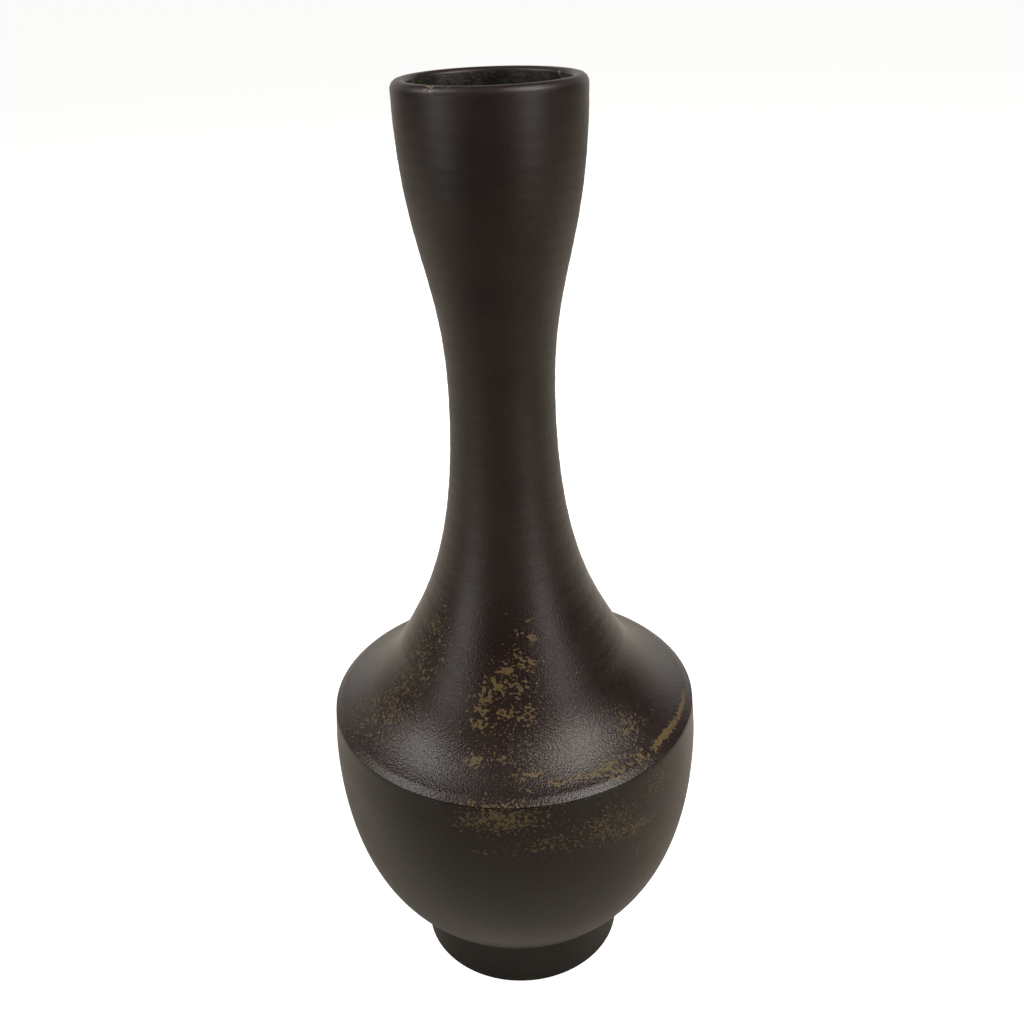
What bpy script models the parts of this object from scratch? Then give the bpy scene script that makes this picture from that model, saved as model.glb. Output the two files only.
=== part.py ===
# A tall ceramic bud vase, thrown in four sections that are fitted together and fired as one.
# The foot ring takes the bowl's turned boss, the shoulder drops into the rebate in the bowl's rim,
# and the long neck stands on the shoulder's collar. Metres, +Z up, the axis on Z, the foot on Z = 0.
import math

import bmesh
import bpy
import numpy as np

MM = 0.001
SEGMENTS = 56
SLIP_GAP = 0.3 * MM  # the joint line left between two sections

# Overall form, as radius and height
TOTAL_HEIGHT = 240.0 * MM
MOUTH_RADIUS = 21.3 * MM
WAIST_RADIUS = 12.9 * MM
WAIST_HEIGHT = 168.5 * MM
WAIST_TO_MOUTH_PULL = 29.8 * MM  # how far the waist's upright line carries up the neck
MOUTH_PULL = 34.4 * MM  # how far the mouth's upright line carries down it
WAIST_TO_FLARE_PULL = 44.0 * MM
FLARE_PULL = 12.6 * MM
FLARE_ANGLE = math.radians(62.5)  # the neck's slope where it reaches the shoulder
HOLLOW_RADIUS = 33.0 * MM  # the shoulder is one hollow arc, from the neck's slope to this one
HOLLOW_END_ANGLE = math.radians(22.0)
FACET_RADIUS = 46.85 * MM  # where the hollow ends and the chamfer starts
FACET_HEIGHT = 82.9 * MM
EDGE_RADIUS = 48.65 * MM  # the lower edge of the chamfer round the shoulder
EDGE_HEIGHT = 81.7 * MM
BULGE_RADIUS = 49.4 * MM
BULGE_HEIGHT = 69.5 * MM
BULGE_PULL = 24.0 * MM
FOOT_JOINT_RADIUS = 28.3 * MM
FOOT_JOINT_HEIGHT = 14.9 * MM
FOOT_PULL = 18.0 * MM
UNDERSIDE_ANGLE = math.radians(33.0)  # the bowl's slope where it leaves the foot
FOOT_RADIUS = 28.3 * MM

# Walls and joints
NECK_WALL = 3.4 * MM
LIP_ROUNDING = 1.8 * MM
LIP_BEVEL = 1.6 * MM
BOWL_WALL = 5.0 * MM
COLLAR_WALL = 3.8 * MM  # the shoulder's collar, which the neck's spigot drops into
SPIGOT_WALL = 2.8 * MM
SPIGOT_DEPTH = 4.5 * MM
REBATE_WALL = 2.5 * MM  # what is left of the bowl's rim outside the shoulder's skirt
SKIRT_WALL = 3.2 * MM
SKIRT_DEPTH = 5.0 * MM
FLOOR_THICKNESS = 7.0 * MM
BOSS_RADIUS = 20.6 * MM
BOSS_DEPTH = 3.6 * MM
FOOT_EDGE_CHAMFER = 0.5 * MM


def clear_scene():
    for old in list(bpy.data.objects):
        bpy.data.objects.remove(old, do_unlink=True)


def pulled_curve(start, start_pull, end, end_pull, steps):
    """A cubic from start to end, as (radius, height) rows. Each pull is the handle at that end."""
    start, end = np.array(start), np.array(end)
    handle, other = start + np.array(start_pull), end + np.array(end_pull)
    t = np.linspace(0.0, 1.0, steps + 1)[:, None]
    return (
        (1 - t) ** 3 * start + 3 * (1 - t) ** 2 * t * handle + 3 * (1 - t) * t**2 * other + t**3 * end
    )


def arc(centre, radius, first, last, steps):
    """Rows of (radius, height) round a centre, with the angles from the radius axis."""
    angle = np.linspace(first, last, steps + 1)
    return np.column_stack((centre[0] + radius * np.cos(angle), centre[1] + radius * np.sin(angle)))


def inset(rows, depth):
    """The same run of rows moved into the wall, along the normal that faces the axis."""
    along = np.gradient(rows, axis=0)
    along /= np.linalg.norm(along, axis=1)[:, None]
    return rows + depth * np.column_stack((along[:, 1], -along[:, 0]))


def turned(name, outline, material):
    """A solid of revolution about Z. An outline that starts and ends on the axis closes there."""
    rings = bmesh.new()
    points = [rings.verts.new((radius, 0.0, height)) for radius, height in outline]
    followers = points[1:] if abs(outline[0][0]) < 1e-9 else points[1:] + points[:1]
    edges = [rings.edges.new(pair) for pair in zip(points, followers)]
    bmesh.ops.spin(
        rings, geom=points + edges, cent=(0, 0, 0), axis=(0, 0, 1), angle=math.tau,
        steps=SEGMENTS, use_merge=True,
    )
    bmesh.ops.remove_doubles(rings, verts=rings.verts, dist=1e-6)
    bmesh.ops.recalc_face_normals(rings, faces=rings.faces)
    mesh = bpy.data.meshes.new(name)
    rings.to_mesh(mesh)
    rings.free()
    mesh.shade_smooth()
    mesh.set_sharp_from_angle(angle=math.radians(30))
    mesh.materials.append(material)
    piece = bpy.data.objects.new(name, mesh)
    bpy.context.scene.collection.objects.link(piece)
    return piece


def glaze(name, color, roughness):
    material = bpy.data.materials.new(name)
    material.use_nodes = True
    shader = material.node_tree.nodes["Principled BSDF"]
    shader.inputs["Base Color"].default_value = (*color, 1.0)
    shader.inputs["Roughness"].default_value = roughness
    shader.inputs["Metallic"].default_value = 0.0
    return material


def shoulder_hollow():
    """The hollow arc from the seam under the neck down to the chamfer."""
    centre = (
        FACET_RADIUS + HOLLOW_RADIUS * math.sin(HOLLOW_END_ANGLE),
        FACET_HEIGHT + HOLLOW_RADIUS * math.cos(HOLLOW_END_ANGLE),
    )
    first, last = 1.5 * math.pi - FLARE_ANGLE, 1.5 * math.pi - HOLLOW_END_ANGLE
    return arc(centre, HOLLOW_RADIUS, first, last, 9)


def neck_outside(seam):
    """The neck's outer line from the lip's edge past the waist to the seam on the shoulder."""
    lip_edge = (MOUTH_RADIUS, TOTAL_HEIGHT - LIP_ROUNDING)
    waist = (WAIST_RADIUS, WAIST_HEIGHT)
    upper = pulled_curve(lip_edge, (0, -MOUTH_PULL), waist, (0, WAIST_TO_MOUTH_PULL), 11)
    flare_pull = (-FLARE_PULL * math.cos(FLARE_ANGLE), FLARE_PULL * math.sin(FLARE_ANGLE))
    lower = pulled_curve(waist, (0, -WAIST_TO_FLARE_PULL), seam, flare_pull, 12)
    return np.vstack((upper, lower[1:]))


def make_neck(hollow, material):
    seam = hollow[0]
    outside = neck_outside(seam + np.array((0.0, SLIP_GAP)))
    lip_centre = (MOUTH_RADIUS - LIP_ROUNDING, TOTAL_HEIGHT - LIP_ROUNDING)
    lip = arc(lip_centre, LIP_ROUNDING, math.pi / 2, 0.0, 4)
    inner_lip = (lip_centre[0] - LIP_BEVEL, lip_centre[1])
    spigot_outer = seam[0] - COLLAR_WALL - SLIP_GAP
    spigot_inner = spigot_outer - SPIGOT_WALL
    spigot_foot = seam[1] - SPIGOT_DEPTH + SLIP_GAP
    joint = [
        (spigot_outer, seam[1] + SLIP_GAP),
        (spigot_outer, spigot_foot),
        (spigot_inner, spigot_foot),
    ]
    waist = (WAIST_RADIUS - NECK_WALL, WAIST_HEIGHT)
    flare_pull = (-FLARE_PULL * math.cos(FLARE_ANGLE), FLARE_PULL * math.sin(FLARE_ANGLE))
    rise = pulled_curve(
        (spigot_inner, seam[1] + SLIP_GAP), flare_pull, waist, (0, -WAIST_TO_FLARE_PULL), 7
    )
    throat = pulled_curve(waist, (0, WAIST_TO_MOUTH_PULL), inner_lip, (0, -MOUTH_PULL), 7)
    turned("neck", np.vstack((lip[:-1], outside, joint, rise, throat[1:])), material)


def make_shoulder(hollow, material):
    seam = hollow[0]
    bore = seam[0] - COLLAR_WALL
    skirt_outer = EDGE_RADIUS - REBATE_WALL - SLIP_GAP
    skirt_inner = skirt_outer - SKIRT_WALL
    skirt_foot = EDGE_HEIGHT - SKIRT_DEPTH
    ledge = seam[1] - SPIGOT_DEPTH
    seat = bore - SLIP_GAP - SPIGOT_WALL
    edge = [
        (EDGE_RADIUS, EDGE_HEIGHT),
        (skirt_outer, EDGE_HEIGHT),
        (skirt_outer, skirt_foot),
        (skirt_inner, skirt_foot),
    ]
    vault = pulled_curve(
        (skirt_inner, skirt_foot + 1.8 * MM), (-5.0 * MM, 0.6 * MM), (seat, ledge - 4.0 * MM),
        (2.4 * MM, -3.6 * MM), 6,
    )
    collar = [(seat, ledge), (bore, ledge), (bore, seam[1])]
    turned("shoulder", np.vstack((hollow, edge, vault, collar)), material)


def make_bowl(material):
    rim = EDGE_HEIGHT - SLIP_GAP
    shoulder_side = pulled_curve(
        (EDGE_RADIUS, rim), (0.3 * MM, -4.0 * MM), (BULGE_RADIUS, BULGE_HEIGHT), (0, 4.0 * MM), 4
    )
    foot_pull = (FOOT_PULL * math.cos(UNDERSIDE_ANGLE), FOOT_PULL * math.sin(UNDERSIDE_ANGLE))
    belly = pulled_curve(
        (BULGE_RADIUS, BULGE_HEIGHT), (0, -BULGE_PULL), (FOOT_JOINT_RADIUS, FOOT_JOINT_HEIGHT),
        foot_pull, 12,
    )
    boss = [
        (BOSS_RADIUS, FOOT_JOINT_HEIGHT),
        (BOSS_RADIUS, FOOT_JOINT_HEIGHT - BOSS_DEPTH),
        (0.0, FOOT_JOINT_HEIGHT - BOSS_DEPTH),
    ]
    floor = FOOT_JOINT_HEIGHT - BOSS_DEPTH + FLOOR_THICKNESS
    rebate = EDGE_RADIUS - REBATE_WALL
    rebate_foot = EDGE_HEIGHT - SKIRT_DEPTH - SLIP_GAP
    wall = inset(belly, BOWL_WALL)[:-4][::-1]
    down_the_wall = (wall[0] - wall[1]) / np.linalg.norm(wall[0] - wall[1])
    hollow = pulled_curve((0.0, floor), (16.0 * MM, 0.0), wall[0], 12.0 * MM * down_the_wall, 7)
    rim_rows = [
        (BULGE_RADIUS - BOWL_WALL, rebate_foot),
        (rebate, rebate_foot),
        (rebate, rim),
    ]
    outline = np.vstack((hollow, wall[1:], rim_rows, shoulder_side, belly[1:], boss))
    turned("bowl", outline, material)


def make_foot(material):
    top = FOOT_JOINT_HEIGHT - SLIP_GAP
    inside = BOSS_RADIUS + SLIP_GAP
    outline = [
        (inside, top),
        (FOOT_JOINT_RADIUS, top),
        (FOOT_RADIUS, FOOT_EDGE_CHAMFER),
        (FOOT_RADIUS - FOOT_EDGE_CHAMFER, 0.0),
        (inside + FOOT_EDGE_CHAMFER, 0.0),
        (inside, FOOT_EDGE_CHAMFER),
    ]
    turned("foot_ring", outline, material)


clear_scene()
hollow_rows = shoulder_hollow()
make_neck(hollow_rows, glaze("neck_glaze", (0.030, 0.024, 0.021), 0.38))
make_shoulder(hollow_rows, glaze("shoulder_glaze", (0.034, 0.026, 0.022), 0.38))
make_bowl(glaze("bowl_glaze", (0.029, 0.026, 0.021), 0.42))
make_foot(glaze("foot_clay", (0.016, 0.012, 0.009), 0.68))
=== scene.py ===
import math

import bpy
import numpy as np
from mathutils import Matrix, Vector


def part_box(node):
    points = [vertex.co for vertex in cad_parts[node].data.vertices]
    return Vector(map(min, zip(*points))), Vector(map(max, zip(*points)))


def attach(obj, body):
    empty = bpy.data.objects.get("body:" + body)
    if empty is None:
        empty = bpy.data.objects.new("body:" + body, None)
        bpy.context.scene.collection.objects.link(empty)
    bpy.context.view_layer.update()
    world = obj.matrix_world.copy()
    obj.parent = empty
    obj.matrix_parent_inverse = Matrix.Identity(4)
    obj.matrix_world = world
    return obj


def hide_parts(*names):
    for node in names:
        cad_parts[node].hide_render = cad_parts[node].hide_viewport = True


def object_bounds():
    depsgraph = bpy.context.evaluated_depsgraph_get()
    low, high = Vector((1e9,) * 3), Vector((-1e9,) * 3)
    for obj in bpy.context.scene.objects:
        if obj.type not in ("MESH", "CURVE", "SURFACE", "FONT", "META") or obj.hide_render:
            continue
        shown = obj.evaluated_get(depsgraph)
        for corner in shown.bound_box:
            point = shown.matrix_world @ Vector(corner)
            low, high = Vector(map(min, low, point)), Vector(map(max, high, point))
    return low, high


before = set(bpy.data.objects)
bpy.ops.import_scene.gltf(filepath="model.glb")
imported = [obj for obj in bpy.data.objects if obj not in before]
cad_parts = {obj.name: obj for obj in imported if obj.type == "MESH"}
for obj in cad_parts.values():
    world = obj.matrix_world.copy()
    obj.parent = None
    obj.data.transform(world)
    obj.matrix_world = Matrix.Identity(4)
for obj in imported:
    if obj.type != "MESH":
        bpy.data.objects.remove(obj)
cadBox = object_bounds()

mm = 0.001
around = 256  # columns in every turned surface
seamGap = 0.3  # what the joints inside the walls keep clear, in mm
seamInset = 0.5  # how far in from the outer line the neck's joint turns, in mm

# The outer line that all four sections share, in mm of radius and height. Its extremes come from the frame.
outerForm = {
    "totalHeight": cadBox[1].z / mm,
    "mouthRadius": 21.3,
    "waistRadius": 12.9,
    "waistHeight": 168.5,
    "waistToMouthPull": 29.8,
    "mouthPull": 34.4,
    "waistToFlarePull": 44.0,
    "flarePull": 12.6,
    "flareAngle": math.radians(62.5),
    "hollowRadius": 33.0,
    "hollowEndAngle": math.radians(22.0),
    "facetRadius": 46.85,
    "facetHeight": 82.9,
    "edgeRadius": 48.65,
    "edgeHeight": 81.7,
    "bulgeRadius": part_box("bowl")[1].x / mm,
    "bulgeHeight": 69.5,
    "bulgePull": 24.0,
    "footJointRadius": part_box("foot_ring")[1].x / mm,
    "footJointHeight": 14.9,
    "footPull": 18.0,
    "undersideAngle": math.radians(33.0),
    "footRadius": 28.3,
}


def pulledCurve(start, startPull, end, endPull, count=90):
    # cubic: (1-t)^3 a + 3(1-t)^2 t b + 3(1-t)t^2 c + t^3 d, with b and c the ends moved by their pulls
    a, d = np.array(start, float), np.array(end, float)
    b, c = a + np.array(startPull), d + np.array(endPull)
    t = np.linspace(0.0, 1.0, count)[:, None]
    return (1 - t) ** 3 * a + 3 * (1 - t) ** 2 * t * b + 3 * (1 - t) * t**2 * c + t**3 * d


def arcRows(centre, radius, first, last, count=24):
    # centre plus radius times (cos, sin) of an angle that runs evenly from first to last
    angle = np.linspace(first, last, count)
    return np.column_stack((centre[0] + radius * np.cos(angle), centre[1] + radius * np.sin(angle)))


def lengthAlong(rows):
    # running sum of the distances between neighbouring rows
    return np.concatenate(([0.0], np.cumsum(np.hypot(*np.diff(rows, axis=0).T))))


def spread(rows, step, tightEnds=False):
    # the same line with rows a step apart, and a few close to each end where a seam must not show
    travelled = lengthAlong(rows)
    total = travelled[-1]
    stops = np.linspace(0.0, total, max(2, int(math.ceil(total / step)) + 1))
    if tightEnds:
        close = np.array((0.04, 0.12, 0.3))
        stops = np.unique(np.concatenate((stops, close, total - close)))
    radius = np.interp(stops, travelled, rows[:, 0])
    return np.column_stack((radius, np.interp(stops, travelled, rows[:, 1])))


def softCorners(corners, radius, count=5):
    # each inner corner becomes a quadratic curve from a point before it to a point after it
    pieces = [corners[:1]]
    for before, here, after in zip(corners[:-2], corners[1:-1], corners[2:]):
        back = (before - here) / np.linalg.norm(before - here)
        on = (after - here) / np.linalg.norm(after - here)
        reach = min(radius, 0.45 * np.linalg.norm(before - here), 0.45 * np.linalg.norm(after - here))
        t = np.linspace(0.0, 1.0, count)[:, None]
        start, end = here + reach * back, here + reach * on
        pieces.append((1 - t) ** 2 * start + 2 * (1 - t) * t * here + t**2 * end)
    pieces.append(corners[-1:])
    return np.vstack(pieces)


def hollowRows():
    # centre = the facet's edge plus radius times (sin, cos) of the last slope
    # the arc runs from the first slope to the last
    form = outerForm
    first, last, radius = form["flareAngle"], form["hollowEndAngle"], form["hollowRadius"]
    centre = (form["facetRadius"] + radius * math.sin(last), form["facetHeight"] + radius * math.cos(last))
    return arcRows(centre, radius, 1.5 * math.pi - first, 1.5 * math.pi - last, 90)


shoulderHollow = hollowRows()
seamPoint = shoulderHollow[0]


def flarePull():
    # the pull's length times (-cos, sin) of the neck's slope at the seam
    pull, angle = outerForm["flarePull"], outerForm["flareAngle"]
    return (-pull * math.cos(angle), pull * math.sin(angle))


def turnedShell(name, outline, inner, along, ripple=None):
    # x = r sin(turn), y = -r cos(turn), z = height, on a grid of outline row by column. Turn 0 faces -Y.
    # A row on the axis is one point with a fan of triangles. Rows run down the outside and up the inside.
    turn = np.arange(around) / around * math.tau
    rows = np.array(outline, float)
    radius = np.repeat(rows[:, 0:1], around, axis=1)
    height = np.repeat(rows[:, 1:2], around, axis=1)
    if ripple is not None:
        slope = np.gradient(rows, axis=0)
        slope /= np.maximum(np.linalg.norm(slope, axis=1), 1e-9)[:, None]
        swell = ripple(turn[None, :], along[:, None]) * (~inner)[:, None]
        radius = radius - swell * slope[:, 1:2]
        height = height + swell * slope[:, 0:1]
    points = np.stack((radius * np.sin(turn), -radius * np.cos(turn), height), axis=-1) * mm
    onAxis = rows[:, 0] < 1e-6
    ringIds = np.full((len(rows), around), -1)
    live = np.flatnonzero(~onAxis)
    ringIds[live] = np.arange(len(live) * around).reshape(len(live), around)
    poles = np.flatnonzero(onAxis)
    ringIds[poles] = (len(live) * around + np.arange(len(poles)))[:, None]
    coords = np.vstack((points[live].reshape(-1, 3), points[poles, 0, :]))
    follow = np.arange(1, len(rows) + 1) % len(rows)
    pairs = [(i, j) for i, j in enumerate(follow) if not (onAxis[i] and onAxis[j])]
    above = ringIds[[i for i, _ in pairs]]
    below = ringIds[[j for _, j in pairs]]
    quads = np.stack((above, below, np.roll(below, -1, axis=1), np.roll(above, -1, axis=1)), axis=-1)
    flatIndex, starts, isInner = [], [], []
    cursor = 0
    for (i, j), strip in zip(pairs, quads):  # strips of the outline, whole rings at a time
        if onAxis[i]:
            faces = strip[:, 0:3]
        elif onAxis[j]:
            faces = strip[:, [0, 1, 3]]
        else:
            faces = strip
        flatIndex.append(faces.reshape(-1))
        starts.append(cursor + np.arange(len(faces)) * faces.shape[1])
        cursor += faces.size
        isInner.append(np.full(len(faces), int(inner[i] and inner[j]) + int(inner[i] != inner[j])))
    mesh = bpy.data.meshes.new(name)
    flatIndex, starts = np.concatenate(flatIndex), np.concatenate(starts)
    mesh.vertices.add(len(coords))
    mesh.vertices.foreach_set("co", coords.astype(np.float32).reshape(-1))
    mesh.loops.add(len(flatIndex))
    mesh.loops.foreach_set("vertex_index", flatIndex.astype(np.int32))
    mesh.polygons.add(len(starts))
    mesh.polygons.foreach_set("loop_start", starts.astype(np.int32))
    mesh.polygons.foreach_set("material_index", np.concatenate(isInner).astype(np.int32))
    mesh.update(calc_edges=True)
    mesh.validate()
    mesh.shade_smooth()
    mesh.set_sharp_from_angle(angle=math.radians(32))
    piece = bpy.data.objects.new(name, mesh)
    bpy.context.scene.collection.objects.link(piece)
    gridTurn = np.repeat(turn[None, :], len(rows), axis=0)
    gridAlong = np.repeat(np.array(along, float)[:, None], around, axis=1)
    columns = np.tile(np.arange(around), len(live))
    order = np.concatenate((live.repeat(around) * around + columns, poles * around))
    return piece, gridTurn.reshape(-1)[order], gridAlong.reshape(-1)[order]


def cloudField(turn, along, clouds):
    # the strongest cloud's amount * exp(-|x/wide|^soft - |y/tall|^soft), with x in degrees and y in mm
    degrees = np.degrees((turn + math.pi) % math.tau - math.pi)
    field = np.zeros(len(turn))
    for cloud in clouds:
        x, y = degrees - cloud["turn"], along - cloud["along"]
        power = cloud.get("soft", 2.0)
        fall = np.abs(x / cloud["wide"]) ** power + np.abs(y / cloud["tall"]) ** power
        field = np.maximum(field, cloud["amount"] * np.exp(-fall))
    return field


def storeField(piece, name, values):
    # one number per vertex, for the glaze to read by name
    layer = piece.data.attributes.new(name, "FLOAT", "POINT")
    layer.data.foreach_set("value", np.asarray(values, np.float32))


def newGroup(name, inputs, outputs):
    # an empty shared effect with its sockets, and the nodes that hand values in and out
    group = bpy.data.node_groups.new(name, "ShaderNodeTree")
    for label, kind, value in inputs:
        socket = group.interface.new_socket(label, in_out="INPUT", socket_type=kind)
        if value is not None:
            socket.default_value = value
    for label, kind in outputs:
        group.interface.new_socket(label, in_out="OUTPUT", socket_type=kind)
    return group, group.nodes.new("NodeGroupInput"), group.nodes.new("NodeGroupOutput")


def addNode(tree, kind, **settings):
    # settings are properties of the node; inputs are given as a dictionary of socket to value or to link
    node = tree.nodes.new(kind)
    wired = settings.pop("wire", {})
    for key, value in settings.items():
        setattr(node, key, value)
    for key, value in wired.items():
        if isinstance(value, bpy.types.NodeSocket):
            tree.links.new(value, node.inputs[key])
        else:
            node.inputs[key].default_value = value
    return node


def maths(tree, operation, a, b=0.0, c=None, clamp=False):
    # the operation of a, b and c, such as a * b + c
    wired = {0: a, 1: b}
    if c is not None:
        wired[2] = c
    return addNode(tree, "ShaderNodeMath", operation=operation, use_clamp=clamp, wire=wired).outputs[0]


def mixColors(tree, factor, a, b, blend="MIX"):
    # a * (1 - factor) + b * factor, or a * b when multiplied
    node = addNode(tree, "ShaderNodeMix", data_type="RGBA", blend_type=blend, wire={0: factor, 6: a, 7: b})
    return node.outputs[2]


def gritGroup():
    # orange-peel grain: a fine noise and a coarser one added up
    group, given, out = newGroup(
        "kilnGrit",
        (
            ("Vector", "NodeSocketVector", None),
            ("Scale", "NodeSocketFloat", 1900.0),
            ("Dimple", "NodeSocketFloat", 0.2),
        ),
        (("Height", "NodeSocketFloat"), ("Tone", "NodeSocketFloat")),
    )
    fine = addNode(
        group, "ShaderNodeTexNoise",
        wire={
            "Vector": given.outputs["Vector"], "Scale": given.outputs["Scale"],
            "Detail": 2.0, "Roughness": 0.55,
        },
    )
    half = maths(group, "MULTIPLY", given.outputs["Scale"], 0.32)
    broad = addNode(
        group, "ShaderNodeTexNoise", wire={"Vector": given.outputs["Vector"], "Scale": half, "Detail": 1.0}
    )
    dimple = given.outputs["Dimple"]
    together = maths(group, "MULTIPLY_ADD", broad.outputs["Fac"], dimple, fine.outputs["Fac"])
    group.links.new(together, out.inputs["Height"])
    group.links.new(fine.outputs["Fac"], out.inputs["Tone"])
    return group


def throwingGroup():
    # rings left by the wheel: a noise that is stretched round the axis and quick along the profile
    group, given, out = newGroup(
        "throwingRings",
        (
            ("Vector", "NodeSocketVector", None),
            ("Along", "NodeSocketFloat", 0.0),
            ("Pitch", "NodeSocketFloat", 1.0),
        ),
        (("Height", "NodeSocketFloat"),),
    )
    split = addNode(group, "ShaderNodeSeparateXYZ", wire={0: given.outputs["Vector"]})
    quick = maths(group, "DIVIDE", given.outputs["Along"], given.outputs["Pitch"])
    slowX = maths(group, "MULTIPLY", split.outputs[0], 45.0)
    slowY = maths(group, "MULTIPLY", split.outputs[1], 45.0)
    place = addNode(group, "ShaderNodeCombineXYZ", wire={0: slowX, 1: slowY, 2: quick})
    rings = addNode(
        group, "ShaderNodeTexNoise",
        wire={"Vector": place.outputs[0], "Scale": 1.0, "Detail": 3.0, "Roughness": 0.6},
    )
    group.links.new(rings.outputs["Fac"], out.inputs["Height"])
    return group


def fleckGroup():
    # flakes where a noise, flattened in height, passes a limit that falls as the density rises
    group, given, out = newGroup(
        "goldFlecks",
        (
            ("Vector", "NodeSocketVector", None),
            ("Density", "NodeSocketFloat", 0.0),
            ("Scale", "NodeSocketFloat", 500.0),
            ("Limit", "NodeSocketFloat", 0.72),
            ("Reach", "NodeSocketFloat", 0.195),
        ),
        (("Mask", "NodeSocketFloat"),),
    )
    stretched = addNode(
        group, "ShaderNodeVectorMath", operation="MULTIPLY",
        wire={0: given.outputs["Vector"], 1: (1.0, 1.0, 1.35)},
    )
    flakes = addNode(
        group, "ShaderNodeTexNoise",
        wire={
            "Vector": stretched.outputs[0], "Scale": given.outputs["Scale"],
            "Detail": 1.5, "Roughness": 0.6,
        },
    )
    fall = maths(group, "MULTIPLY", given.outputs["Density"], given.outputs["Reach"])
    limit = maths(group, "SUBTRACT", given.outputs["Limit"], fall)
    over = maths(group, "SUBTRACT", flakes.outputs["Fac"], limit)
    mask = addNode(
        group, "ShaderNodeMapRange", interpolation_type="SMOOTHSTEP", wire={0: over, 1: -0.012, 2: 0.022}
    )
    shown = maths(group, "GREATER_THAN", given.outputs["Density"], 0.02)
    group.links.new(maths(group, "MULTIPLY", mask.outputs[0], shown), out.inputs["Mask"])
    return group


def mottleGroup():
    # slow drift of colour over the glaze, between three tones
    group, given, out = newGroup(
        "kilnMottle",
        (
            ("Vector", "NodeSocketVector", None),
            ("Scale", "NodeSocketFloat", 40.0),
            ("Deep", "NodeSocketColor", None),
            ("Body", "NodeSocketColor", None),
            ("Pale", "NodeSocketColor", None),
        ),
        (("Color", "NodeSocketColor"), ("Drift", "NodeSocketFloat")),
    )
    slow = addNode(
        group, "ShaderNodeTexNoise",
        wire={
            "Vector": given.outputs["Vector"], "Scale": given.outputs["Scale"],
            "Detail": 4.0, "Roughness": 0.6,
        },
    )
    lowHalf = addNode(group, "ShaderNodeMapRange", wire={0: slow.outputs["Fac"], 1: 0.32, 2: 0.52})
    highHalf = addNode(group, "ShaderNodeMapRange", wire={0: slow.outputs["Fac"], 1: 0.5, 2: 0.72})
    first = mixColors(group, lowHalf.outputs[0], given.outputs["Deep"], given.outputs["Body"])
    second = mixColors(group, highHalf.outputs[0], first, given.outputs["Pale"])
    group.links.new(second, out.inputs["Color"])
    group.links.new(slow.outputs["Fac"], out.inputs["Drift"])
    return group


gritNodes = gritGroup()
throwingNodes = throwingGroup()
fleckNodes = fleckGroup()
mottleNodes = mottleGroup()
print("shared effects are ready")


def grouped(tree, group, **wired):
    # one use of a shared effect
    return addNode(tree, "ShaderNodeGroup", node_tree=group, wire=wired)


def named(values):
    # the same values, with 1.0 added to each colour as its alpha
    def filled(value):
        return (*value, 1.0) if isinstance(value, tuple) and len(value) == 3 else value

    return {key: filled(value) for key, value in values.items()}


# Each glaze: deep, body and pale tones, the gold of the flakes, and how rough and how gritty it is.
glazes = {
    "neckGlaze": {
        "deep": (0.0100, 0.0046, 0.0042), "body": (0.0165, 0.0086, 0.0074), "pale": (0.0190, 0.0125, 0.0095),
        "gold": (0.106, 0.072, 0.027), "flakeScale": 900.0, "speckScale": 1450.0, "mottleScale": 38.0,
        "rough": 0.30, "roughDrift": 0.10, "calmRough": 0.13, "specular": 0.45,
        "grit": 0.125, "calmGrit": 0.022, "gritScale": 1900.0, "rings": 0.014, "ringPitch": 0.0006,
    },
    "shoulderGlaze": {
        "deep": (0.0110, 0.0050, 0.0046), "body": (0.0175, 0.0088, 0.0077), "pale": (0.0200, 0.0130, 0.0100),
        "gold": (0.106, 0.072, 0.027), "flakeScale": 900.0, "speckScale": 1450.0, "mottleScale": 38.0,
        "rough": 0.30, "roughDrift": 0.10, "calmRough": 0.0, "specular": 0.45,
        "grit": 0.125, "calmGrit": 0.125, "gritScale": 1900.0, "rings": 0.014, "ringPitch": 0.0006,
    },
    "bowlGlaze": {
        "deep": (0.0105, 0.0068, 0.0052), "body": (0.0145, 0.0100, 0.0077), "pale": (0.0170, 0.0130, 0.0097),
        "gold": (0.092, 0.065, 0.027), "flakeScale": 880.0, "speckScale": 1300.0, "mottleScale": 34.0,
        "rough": 0.36, "roughDrift": 0.10, "calmRough": 0.0, "specular": 0.45,
        "grit": 0.055, "calmGrit": 0.055, "gritScale": 2000.0, "rings": 0.012, "ringPitch": 0.0008,
    },
    "footClay": {
        "deep": (0.0060, 0.0044, 0.0036), "body": (0.0100, 0.0077, 0.0064), "pale": (0.0140, 0.0110, 0.0092),
        "gold": (0.05, 0.035, 0.02), "flakeScale": 1150.0, "speckScale": 2000.0, "mottleScale": 60.0,
        "rough": 0.40, "roughDrift": 0.12, "calmRough": 0.0, "specular": 0.36,
        "grit": 0.030, "calmGrit": 0.030, "gritScale": 2000.0, "rings": 0.014, "ringPitch": 0.0008,
    },
    "insideGlaze": {
        "deep": (0.006, 0.005, 0.004), "body": (0.018, 0.015, 0.0115), "pale": (0.060, 0.054, 0.042),
        "gold": (0.20, 0.15, 0.07), "flakeScale": 1150.0, "speckScale": 2000.0, "mottleScale": 300.0,
        "rough": 0.50, "roughDrift": 0.2, "calmRough": 0.0, "specular": 0.45,
        "grit": 0.22, "calmGrit": 0.22, "gritScale": 900.0, "rings": 0.05, "ringPitch": 0.0012,
    },
}


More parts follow.
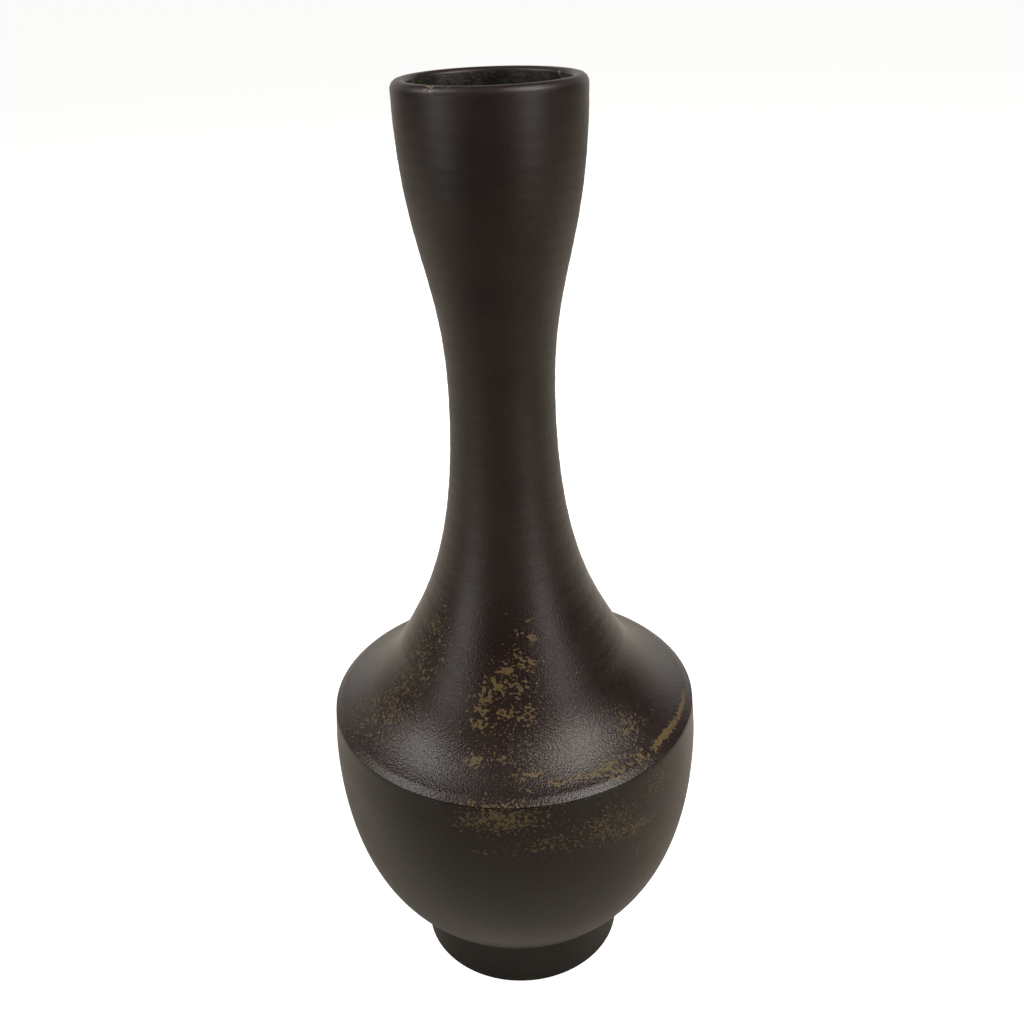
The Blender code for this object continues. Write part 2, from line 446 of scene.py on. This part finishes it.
def glazeMaterial(name):
    # mottled tones, gold flakes and specks by their own density, pale wear, and a bump of grit and rings
    look = named(glazes[name])
    material = bpy.data.materials.new(name)
    material.use_nodes = True
    tree = material.node_tree
    tree.nodes.clear()
    place = addNode(tree, "ShaderNodeTexCoord").outputs["Object"]
    fields = {
        key: addNode(tree, "ShaderNodeAttribute", attribute_name=key).outputs["Fac"]
        for key in ("along", "flakes", "specks", "wear")
    }
    mottle = grouped(
        tree, mottleNodes, Vector=place, Scale=look["mottleScale"],
        Deep=look["deep"], Body=look["body"], Pale=look["pale"],
    )
    grit = grouped(tree, gritNodes, Vector=place, Scale=look["gritScale"])
    rings = grouped(tree, throwingNodes, Vector=place, Along=fields["along"], Pitch=look["ringPitch"])
    flakes = grouped(tree, fleckNodes, Vector=place, Density=fields["flakes"], Scale=look["flakeScale"])
    specks = grouped(
        tree, fleckNodes, Vector=place, Density=fields["specks"], Scale=look["speckScale"],
        Limit=0.74, Reach=0.25,
    )
    wornSpots = grouped(
        tree, fleckNodes, Vector=place, Density=fields["wear"], Scale=1400.0, Limit=0.80, Reach=0.4
    )
    gold = maths(tree, "MAXIMUM", flakes.outputs["Mask"], specks.outputs["Mask"])
    grain = addNode(
        tree, "ShaderNodeMapRange", wire={0: grit.outputs["Tone"], 1: 0.25, 2: 0.75, 3: 0.75, 4: 1.25}
    )
    shaded = mixColors(tree, 1.0, mottle.outputs["Color"], grain.outputs[0], "MULTIPLY")
    withGold = mixColors(tree, gold, shaded, look["gold"])
    worn = mixColors(tree, wornSpots.outputs["Mask"], withGold, (0.24, 0.18, 0.11, 1.0))
    half = look["roughDrift"] / 2
    drift = addNode(
        tree, "ShaderNodeMapRange",
        wire={0: mottle.outputs["Drift"], 1: 0.3, 2: 0.7, 3: look["rough"] - half, 4: look["rough"] + half},
    )
    calm = addNode(tree, "ShaderNodeMapRange", wire={0: fields["along"], 1: 0.030, 2: 0.075})
    calmed = maths(tree, "MULTIPLY_ADD", calm.outputs[0], look["calmRough"], drift.outputs[0])
    dulled = maths(tree, "MULTIPLY_ADD", gold, 0.16, calmed, clamp=True)
    gritGain = maths(tree, "MULTIPLY_ADD", calm.outputs[0], look["calmGrit"] - look["grit"], look["grit"])
    gritHeight = maths(tree, "MULTIPLY", grit.outputs["Height"], gritGain)
    ringHeight = maths(tree, "MULTIPLY_ADD", rings.outputs["Height"], look["rings"], gritHeight)
    height = maths(tree, "MULTIPLY_ADD", gold, 0.012, ringHeight)
    bump = addNode(tree, "ShaderNodeBump", wire={"Height": height, "Distance": mm, "Strength": 1.0})
    shader = addNode(
        tree, "ShaderNodeBsdfPrincipled",
        wire={
            "Base Color": worn, "Roughness": dulled,
            "Normal": bump.outputs[0], "Specular IOR Level": look["specular"],
        },
    )
    out = addNode(tree, "ShaderNodeOutputMaterial")
    tree.links.new(shader.outputs[0], out.inputs["Surface"])
    return material


glazeOf = {name: glazeMaterial(name) for name in glazes}
print("glazes are ready")


def finishPiece(piece, node, materials, turn, along, clouds):
    # glazes, the fields they read, the body that the piece hangs from, and the imported part it stands in
    # for, which is hidden
    for name in materials:
        piece.data.materials.append(glazeOf[name])
    storeField(piece, "along", along * mm)
    for key in ("flakes", "specks", "wear"):
        storeField(piece, key, cloudField(turn, along, clouds.get(key, ())))
    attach(piece, "root")
    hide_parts(node)
    print(piece.name, "is made")


neckSizes = {
    "wall": 3.4, "lipRounding": 1.8, "lipBevel": 1.6,
    "collarWall": 3.8, "spigotWall": 2.8, "spigotDepth": 4.5,
    "rowStep": 0.8, "insideStep": 1.6,
    "flakes": (
        {"turn": 12.5, "along": 39.0, "wide": 4, "tall": 1.2, "amount": 1.7, "soft": 3.0},
        {"turn": 4, "along": 40.6, "wide": 5, "tall": 0.6, "amount": 1.3},
        {"turn": 13, "along": 43.6, "wide": 4, "tall": 0.9, "amount": 1.1},
        {"turn": 3, "along": 35.2, "wide": 4, "tall": 1.1, "amount": 1.2},
        {"turn": 8, "along": 32.8, "wide": 8, "tall": 1.4, "amount": 1.53},
        {"turn": -3, "along": 31.3, "wide": 7, "tall": 1.7, "amount": 1.53},
        {"turn": -8, "along": 27.4, "wide": 11, "tall": 3.2, "amount": 1.36},
        {"turn": 3, "along": 27.0, "wide": 9, "tall": 2.6, "amount": 1.19},
        {"turn": -14, "along": 24.0, "wide": 9, "tall": 2.4, "amount": 1.3},
        {"turn": -62, "along": 28.0, "wide": 11, "tall": 3.0, "amount": 0.95},
        {"turn": -51, "along": 25.0, "wide": 7, "tall": 2.6, "amount": 0.85},
        {"turn": -46, "along": 35.5, "wide": 5, "tall": 0.6, "amount": 1.6},
        {"turn": -42, "along": 31.2, "wide": 2.5, "tall": 0.4, "amount": 1.6},
        {"turn": -58, "along": 38.0, "wide": 9, "tall": 1.4, "amount": 0.75},
        {"turn": -60, "along": 56.0, "wide": 9, "tall": 2.5, "amount": 0.75},
        {"turn": -52, "along": 44.5, "wide": 8, "tall": 0.7, "amount": 0.9},
    ),
    "specks": (
        {"turn": -58, "along": 34.0, "wide": 18, "tall": 16.0, "amount": 0.61},
        {"turn": 2, "along": 33.0, "wide": 18, "tall": 9.0, "amount": 0.45},
        {"turn": 25, "along": 25.0, "wide": 14, "tall": 5.0, "amount": 0.35},
    ),
    "wear": (
        {"turn": -36, "along": 168.6, "wide": 5, "tall": 0.9, "amount": 0.95},
        {"turn": -24, "along": 168.8, "wide": 7, "tall": 0.6, "amount": 0.55},
        {"turn": 120, "along": 171.6, "wide": 2, "tall": 0.5, "amount": 1.1},
    ),
}


def neckRipple(turn, along):
    # shallow rings from the fingers, in mm: three sines along the profile that wander a little round the axis
    return 0.016 * (
        np.sin(along * 1.9 + 0.6 * np.sin(turn)) + np.sin(along * 0.83 + 0.4 * np.sin(turn + 1.0))
        + 0.7 * np.sin(along * 3.1 + 0.5 * np.sin(2 * turn))
    )


def makeNeck():
    # down the outside from the lip's crest to the seam, in under the seam, up the inside and over the bevel
    sizes, form = neckSizes, outerForm
    top = form["totalHeight"] - sizes["lipRounding"]
    waist = (form["waistRadius"], form["waistHeight"])
    crest = form["mouthRadius"] - sizes["lipRounding"]
    lip = arcRows((crest, top), sizes["lipRounding"], math.pi / 2, 0.0, 14)
    mouth = (form["mouthRadius"], top)
    upper = pulledCurve(mouth, (0, -form["mouthPull"]), waist, (0, form["waistToMouthPull"]))
    lower = pulledCurve(waist, (0, -form["waistToFlarePull"]), seamPoint, flarePull())
    outside = spread(np.vstack((lip[:-1], upper, lower[1:])), sizes["rowStep"], tightEnds=True)
    spigotOuter = seamPoint[0] - sizes["collarWall"] - seamGap
    spigotInner = spigotOuter - sizes["spigotWall"]
    spigotFoot = seamPoint[1] - sizes["spigotDepth"] + seamGap
    joint = np.array((
        (seamPoint[0] - seamInset, seamPoint[1] + seamGap),
        (spigotOuter, seamPoint[1] + seamGap),
        (spigotOuter, spigotFoot),
        (spigotInner, spigotFoot),
    ))
    innerWaist = (waist[0] - sizes["wall"], waist[1])
    innerSeam = (spigotInner, seamPoint[1] + seamGap)
    rise = pulledCurve(innerSeam, flarePull(), innerWaist, (0, -form["waistToFlarePull"]))
    innerLip = (crest - sizes["lipBevel"], top)
    throat = pulledCurve(innerWaist, (0, form["waistToMouthPull"]), innerLip, (0, -form["mouthPull"]))
    hollow = spread(np.vstack((rise, throat[1:])), sizes["insideStep"])
    roundHeight = 0.55 * sizes["lipRounding"]
    stretch = np.array((sizes["lipBevel"], roundHeight))
    roundCentre = np.array((crest, form["totalHeight"] - roundHeight))
    innerRound = roundCentre + stretch * arcRows((0.0, 0.0), 1.0, math.pi, math.pi / 2, 12)
    outline = np.vstack((outside, joint, hollow[:-1], innerRound[:-1]))
    outsideCount, roundCount = len(outside), len(innerRound) - 1
    inner = np.arange(len(outline)) >= outsideCount + len(joint)
    inner[-roundCount:] = False
    lengths = lengthAlong(outside)
    outerLength = lengthAlong(shoulderHollow)[-1] + lengths[-1]
    overTheLip = outerLength + lengthAlong(innerRound[::-1])[:0:-1]
    depth = outline[outsideCount:-roundCount, 1] - form["facetHeight"]
    along = np.concatenate((outerLength - lengths, depth, overTheLip))
    piece, turn, alongPoints = turnedShell("neckShell", outline, inner, along, neckRipple)
    finishPiece(piece, "neck", ("neckGlaze", "insideGlaze"), turn, alongPoints, neckSizes)


makeNeck()

shoulderSizes = {
    "collarWall": 3.8, "spigotWall": 2.8, "spigotDepth": 4.5,
    "rebateWall": 2.5, "skirtWall": 3.2, "skirtDepth": 5.0,
    "rowStep": 0.3, "edgeSoftness": 0.14, "insideStep": 1.0, "underLift": 0.05,
    "flakes": (
        {"turn": -16, "along": 22.0, "wide": 7, "tall": 2.2, "amount": 1.37},
        {"turn": -15, "along": 18.2, "wide": 7, "tall": 2.0, "amount": 1.31},
        {"turn": -5, "along": 21.0, "wide": 7, "tall": 2.0, "amount": 1.2},
        {"turn": 5, "along": 20.5, "wide": 8, "tall": 3.4, "amount": 1.03},
        {"turn": -14, "along": 9.0, "wide": 5, "tall": 2.4, "amount": 1.31},
        {"turn": -5, "along": 10.0, "wide": 5, "tall": 1.6, "amount": 0.8},
        {"turn": 5, "along": 6.0, "wide": 5, "tall": 1.3, "amount": 1.48},
        {"turn": 7, "along": 11.0, "wide": 5, "tall": 2.0, "amount": 0.63},
        {"turn": 2, "along": 2.0, "wide": 2.5, "tall": 0.5, "amount": 1.37},
        {"turn": 13, "along": 3.0, "wide": 5, "tall": 1.3, "amount": 1.66},
        {"turn": 25, "along": 3.2, "wide": 12, "tall": 1.5, "amount": 1.47},
        {"turn": 32, "along": 0.8, "wide": 7, "tall": 1.5, "amount": 1.53},
        {"turn": 42, "along": 1.4, "wide": 6, "tall": 1.5, "amount": 1.59},
        {"turn": 46, "along": 9.5, "wide": 7, "tall": 3.4, "amount": 0.85},
        {"turn": 37, "along": 7.0, "wide": 4, "tall": 2.5, "amount": 0.6},
        {"turn": 57, "along": 1.2, "wide": 11, "tall": 1.0, "amount": 2.1, "soft": 3.0},
        {"turn": 73, "along": 0.8, "wide": 11, "tall": 0.65, "amount": 2.1, "soft": 3.0},
        {"turn": -64, "along": 20.5, "wide": 11, "tall": 4.0, "amount": 0.85},
        {"turn": -66, "along": 8.0, "wide": 15, "tall": 8.0, "amount": 0.5},
        {"turn": -5, "along": -1.6, "wide": 12, "tall": 1.3, "amount": 1.0},
    ),
    "specks": (
        {"turn": -62, "along": 12.0, "wide": 20, "tall": 14.0, "amount": 0.71},
        {"turn": 0, "along": 12.0, "wide": 20, "tall": 9.0, "amount": 0.56},
        {"turn": 24, "along": 12.0, "wide": 15, "tall": 9.0, "amount": 0.56},
        {"turn": 46, "along": 9.0, "wide": 10, "tall": 6.0, "amount": 0.78},
        {"turn": 34, "along": 3.0, "wide": 20, "tall": 2.5, "amount": 0.62},
        {"turn": -4, "along": -1.4, "wide": 14, "tall": 2.0, "amount": 0.73},
    ),
}


def makeShoulder():
    # down the hollow and the chamfer, in under the edge, round the skirt, under the vault and up the bore
    sizes, form = shoulderSizes, outerForm
    facetEdge = (form["facetRadius"], form["facetHeight"])
    lowerEdge = (form["edgeRadius"], form["edgeHeight"])
    seatIn = form["edgeRadius"] - sizes["rebateWall"] - seamGap
    skirtIn = seatIn - sizes["skirtWall"]
    skirtFoot = form["edgeHeight"] - sizes["skirtDepth"]
    bore = seamPoint[0] - sizes["collarWall"]
    seat = bore - seamGap - sizes["spigotWall"]
    ledge = seamPoint[1] - sizes["spigotDepth"]
    underEdge = (seatIn, form["edgeHeight"] + sizes["underLift"])
    corners = np.array((shoulderHollow[-4], facetEdge, lowerEdge, underEdge))
    edge = softCorners(corners, sizes["edgeSoftness"], 7)
    outside = spread(np.vstack((shoulderHollow[:-4], edge[:-1])), sizes["rowStep"], tightEnds=True)
    vault = pulledCurve((skirtIn, skirtFoot + 1.8), (-5.0, 0.6), (seat, ledge - 4.0), (2.4, -3.6))
    under = np.vstack((
        [underEdge, (seatIn, skirtFoot), (skirtIn, skirtFoot)],
        spread(vault, sizes["insideStep"]),
        [(seat, ledge), (bore, ledge), (bore, seamPoint[1] - seamGap)],
        [(seamPoint[0] - seamInset, seamPoint[1] - seamGap)],
    ))
    outline = np.vstack((outside, under))
    inner = np.arange(len(outline)) >= len(outside) + 2
    lengths = lengthAlong(outside)
    hollowLength = lengthAlong(shoulderHollow)[-1]
    along = np.concatenate((hollowLength - lengths, under[:, 1] - form["facetHeight"]))
    piece, turn, alongPoints = turnedShell("shoulderShell", outline, inner, along)
    glazesUsed = ("shoulderGlaze", "insideGlaze")
    finishPiece(piece, "shoulder", glazesUsed, turn, alongPoints, shoulderSizes)


makeShoulder()

bowlSizes = {
    "wall": 5.0, "floorThickness": 7.0, "bossRadius": 20.6, "bossDepth": 3.6,
    "rebateWall": 2.5, "skirtDepth": 5.0,
    "rowStep": 0.8, "insideStep": 1.8, "edgeSoftness": 0.15,
    "rimDrop": 0.28, "rimInset": 0.02, "shoulderLength": 2.3,
    "flakes": (
        {"turn": -4, "along": -5.0, "wide": 11, "tall": 3.2, "amount": 1.26},
        {"turn": -14, "along": -7.0, "wide": 6, "tall": 3.0, "amount": 0.98},
        {"turn": 8, "along": -7.0, "wide": 6, "tall": 3.0, "amount": 0.75},
        {"turn": 4, "along": -14.5, "wide": 6, "tall": 1.8, "amount": 0.8},
        {"turn": -9, "along": -15.5, "wide": 4, "tall": 1.2, "amount": 0.69},
    ),
    "specks": (
        {"turn": -4, "along": -6.0, "wide": 15, "tall": 4.5, "amount": 0.96},
        {"turn": 10, "along": -13.0, "wide": 14, "tall": 4.0, "amount": 0.73},
        {"turn": 25, "along": -12.0, "wide": 14, "tall": 7.0, "amount": 0.88},
        {"turn": 36, "along": -17.0, "wide": 14, "tall": 4.0, "amount": 0.96},
        {"turn": 48, "along": -9.0, "wide": 12, "tall": 6.0, "amount": 0.88},
        {"turn": 47, "along": -26.0, "wide": 14, "tall": 7.0, "amount": 0.81},
        {"turn": 46, "along": -38.0, "wide": 10, "tall": 8.0, "amount": 0.81},
    ),
}


def makeBowl():
    # down the outside to the foot, round the boss to the axis, then from the floor up the wall to the rim
    sizes, form = bowlSizes, outerForm
    rim = form["edgeHeight"] - sizes["rimDrop"]
    rimOuter = form["edgeRadius"] - sizes["rimInset"]
    bulge = (form["bulgeRadius"], form["bulgeHeight"])
    side = pulledCurve((rimOuter, rim), (0.3, -4.0), bulge, (0, 4.0), 30)
    angle = form["undersideAngle"]
    footPull = (form["footPull"] * math.cos(angle), form["footPull"] * math.sin(angle))
    footJoint = (form["footJointRadius"], form["footJointHeight"])
    belly = pulledCurve(bulge, (0, -form["bulgePull"]), footJoint, footPull)
    rebate = form["edgeRadius"] - sizes["rebateWall"]
    rebateFoot = form["edgeHeight"] - sizes["skirtDepth"] - seamGap
    topEdge = softCorners(np.array(((rebate, rim), (rimOuter, rim), side[4])), sizes["edgeSoftness"], 7)
    outside = spread(np.vstack((topEdge[1:], side[5:], belly[1:])), sizes["rowStep"])
    bossFoot = form["footJointHeight"] - sizes["bossDepth"]
    bossRadius = sizes["bossRadius"]
    boss = spread(np.array((footJoint, (bossRadius, footJoint[1]), (bossRadius, bossFoot))), 1.5)
    underFloor = spread(np.array(((bossRadius, bossFoot), (0.0, bossFoot))), 2.5)
    slope = np.gradient(belly, axis=0)
    slope /= np.linalg.norm(slope, axis=1)[:, None]
    inside = belly + sizes["wall"] * np.column_stack((slope[:, 1], -slope[:, 0]))
    wall = inside[: int(len(belly) * 0.74)][::-1]  # the lowest quarter gives way to the floor's curve
    downWall = (wall[0] - wall[1]) / np.linalg.norm(wall[0] - wall[1])
    floor = pulledCurve((0.0, bossFoot + sizes["floorThickness"]), (16.0, 0.0), wall[0], 12.0 * downWall)
    wallTop = [(form["bulgeRadius"] - sizes["wall"], rebateFoot)]
    hollow = spread(np.vstack((floor, wall[1:], wallTop)), sizes["insideStep"])
    rimRows = np.array(((rebate, rebateFoot), (rebate, rim)))
    outline = np.vstack((outside, boss[1:], underFloor[1:], hollow, rimRows))
    firstInner = len(outside) + len(boss) - 1 + len(underFloor) - 1
    inner = np.arange(len(outline)) >= firstInner
    depth = outline[len(outside):, 1] - form["facetHeight"]
    along = np.concatenate((-sizes["shoulderLength"] - lengthAlong(outside), depth))
    piece, turn, alongPoints = turnedShell("bowlShell", outline, inner, along)
    finishPiece(piece, "bowl", ("bowlGlaze", "insideGlaze"), turn, alongPoints, bowlSizes)


makeBowl()

footSizes = {"inside": 20.9, "edgeSoftness": 0.5, "rowStep": 0.6, "topGap": 0.12}


def makeFoot():
    # down the outside, round the resting edge, up the inside and back over the top
    sizes, form = footSizes, outerForm
    top = form["footJointHeight"] - sizes["topGap"]
    corners = np.array((
        (form["footJointRadius"], top),
        (form["footRadius"], 0.0),
        (sizes["inside"], 0.0),
        (sizes["inside"], top),
    ))
    outline = spread(softCorners(corners, sizes["edgeSoftness"], 8), sizes["rowStep"])
    inner = np.zeros(len(outline), bool)
    along = outline[:, 1] - form["facetHeight"]
    piece, turn, alongPoints = turnedShell("footShell", outline, inner, along)
    finishPiece(piece, "foot_ring", ("footClay",), turn, alongPoints, footSizes)


makeFoot()

studio = {
    "floorHalf": 12.0, "floorColor": (0.80, 0.80, 0.79, 1.0), "floorGlow": 0.9,
    # the two floor tones that the glaze sees are painted shade: dark near the front, where the camera's side
    # of the room would shade the floor, pale towards the back, with the lines where the fade starts and ends
    "floorNearShade": (0.38, 0.345, 0.305, 1.0), "floorBeyondLit": (0.98, 0.935, 0.83, 1.0),
    "shadeNearLine": -0.12, "shadeFarLine": 0.10,
    "surroundings": 0.08, "roomColor": (1.0, 0.97, 0.87, 1.0),
    "lampColor": (1.0, 0.945, 0.89), "lampCentre": 0.09,
}

# Soft lights: turn and rise of the direction, distance, width and height in metres, and watts.
softLights = {
    "boxLeftLow": {"turn": -60, "rise": 8, "far": 0.95, "size": (0.40, 0.50), "power": 1.7},
    "boxRightLow": {"turn": 46, "rise": 8, "far": 0.95, "size": (0.40, 0.50), "power": 1.7},
    "boxLeftHigh": {"turn": -86, "rise": 48, "far": 0.95, "size": (0.36, 0.56), "power": 3.8},
    "boxRightHigh": {"turn": 60, "rise": 52, "far": 0.95, "size": (0.36, 0.56), "power": 6.2},
    "paleWall": {"turn": 180, "rise": 14, "far": 1.5, "size": (3.4, 1.1), "power": 11.0},
}


def makeFloor():
    # one level square. The camera sees it evenly pale; the glaze sees it with painted shade, dim in front and
    # pale farther back, standing in for the darker camera side of the room
    half = studio["floorHalf"]
    mesh = bpy.data.meshes.new("studioFloor")
    drop = -0.0002  # just under the foot, so that the two faces don't fight
    corners = [(-half, -half, drop), (half, -half, drop), (half, half, drop), (-half, half, drop)]
    mesh.from_pydata(corners, [], [(0, 1, 2, 3)])
    floor = bpy.data.objects.new("studioFloor", mesh)
    bpy.context.scene.collection.objects.link(floor)
    material = bpy.data.materials.new("paleFloor")
    material.use_nodes = True
    tree = material.node_tree
    tree.nodes.clear()
    seen = addNode(tree, "ShaderNodeLightPath").outputs["Is Camera Ray"]
    place = addNode(tree, "ShaderNodeTexCoord").outputs["Object"]
    away = addNode(tree, "ShaderNodeSeparateXYZ", wire={0: place}).outputs[1]
    # painted shade on the floor for the glaze: a fade by the floor's own y, dark in front and pale towards
    # the back
    shadeFade = addNode(
        tree, "ShaderNodeMapRange", wire={0: away, 1: studio["shadeNearLine"], 2: studio["shadeFarLine"]}
    )
    paintedFloorShade = mixColors(tree, shadeFade.outputs[0], studio["floorNearShade"], studio["floorBeyondLit"])
    # camera rays get the even pale floor; every other ray gets the painted shade
    paint = mixColors(tree, seen, paintedFloorShade, studio["floorColor"])
    plain = addNode(tree, "ShaderNodeBsdfDiffuse", wire={"Color": paint})
    strength = maths(tree, "MULTIPLY", seen, studio["floorGlow"])
    glow = addNode(tree, "ShaderNodeEmission", wire={"Strength": strength})
    both = addNode(tree, "ShaderNodeAddShader", wire={0: plain.outputs[0], 1: glow.outputs[0]})
    out = addNode(tree, "ShaderNodeOutputMaterial")
    tree.links.new(both.outputs[0], out.inputs["Surface"])
    mesh.materials.append(material)


def makeSurroundings():
    # the room is fully bright to the camera, and dimmed to the surroundings' share for everything else
    world = bpy.data.worlds.new("paleRoom")
    bpy.context.scene.world = world
    world.use_nodes = True
    tree = world.node_tree
    tree.nodes.clear()
    seen = addNode(tree, "ShaderNodeLightPath").outputs["Is Camera Ray"]
    strength = maths(tree, "MULTIPLY_ADD", seen, 1.0 - studio["surroundings"], studio["surroundings"])
    room = addNode(tree, "ShaderNodeBackground", wire={"Color": studio["roomColor"], "Strength": strength})
    out = addNode(tree, "ShaderNodeOutputWorld")
    tree.links.new(room.outputs[0], out.inputs["Surface"])


def softLight(name, sizes):
    # an area light on a sphere round the vase's middle, facing it. Turn 0 is in front, towards -Y
    turn, rise = math.radians(sizes["turn"]), math.radians(sizes["rise"])
    data = bpy.data.lights.new(name, "AREA")
    data.shape, data.energy, data.color = "RECTANGLE", sizes["power"], studio["lampColor"]
    data.size, data.size_y = sizes["size"]
    lamp = bpy.data.objects.new(name, data)
    lamp.visible_camera = False
    away = np.array((math.sin(turn) * math.cos(rise), -math.cos(turn) * math.cos(rise), math.sin(rise)))
    side = np.cross((0.0, 0.0, 1.0), away)
    side = side / np.linalg.norm(side)
    up = np.cross(away, side)
    place = np.array((0.0, 0.0, studio["lampCentre"])) + sizes["far"] * away
    lamp.matrix_world = Matrix([(side[i], up[i], away[i], place[i]) for i in range(3)] + [(0, 0, 0, 1)])
    bpy.context.scene.collection.objects.link(lamp)


makeFloor()
makeSurroundings()
for lightName, lightSizes in softLights.items():
    softLight(lightName, lightSizes)
print("studio is ready")

cameraView = {"back": 256.7, "up": 265.0, "yaw": 0.30, "pitch": 26.70, "roll": -2.19, "lens": 39.79}


def makeCamera():
    # rows of the turn: right, up and back, from a level aim that is yawed, pitched down and rolled
    yaw, pitch, roll = (math.radians(cameraView[key]) for key in ("yaw", "pitch", "roll"))
    ahead = np.array((math.sin(yaw) * math.cos(pitch), math.cos(yaw) * math.cos(pitch), -math.sin(pitch)))
    level = np.array((math.cos(yaw), -math.sin(yaw), 0.0))
    upright = np.cross(level, ahead)
    right = math.cos(roll) * level + math.sin(roll) * upright
    up = -math.sin(roll) * level + math.cos(roll) * upright
    place = (0.0, -cameraView["back"] * mm, cameraView["up"] * mm)
    data = bpy.data.cameras.new("camera")
    data.lens, data.sensor_width, data.clip_start, data.clip_end = cameraView["lens"], 36.0, 0.01, 60.0
    camera = bpy.data.objects.new("camera", data)
    rows = [(right[i], up[i], -ahead[i], place[i]) for i in range(3)]
    camera.matrix_world = Matrix(rows + [(0, 0, 0, 1)])
    bpy.context.scene.collection.objects.link(camera)
    bpy.context.scene.camera = camera


makeCamera()
bpy.context.scene.view_settings.view_transform = "Standard"
bpy.context.view_layer.update()
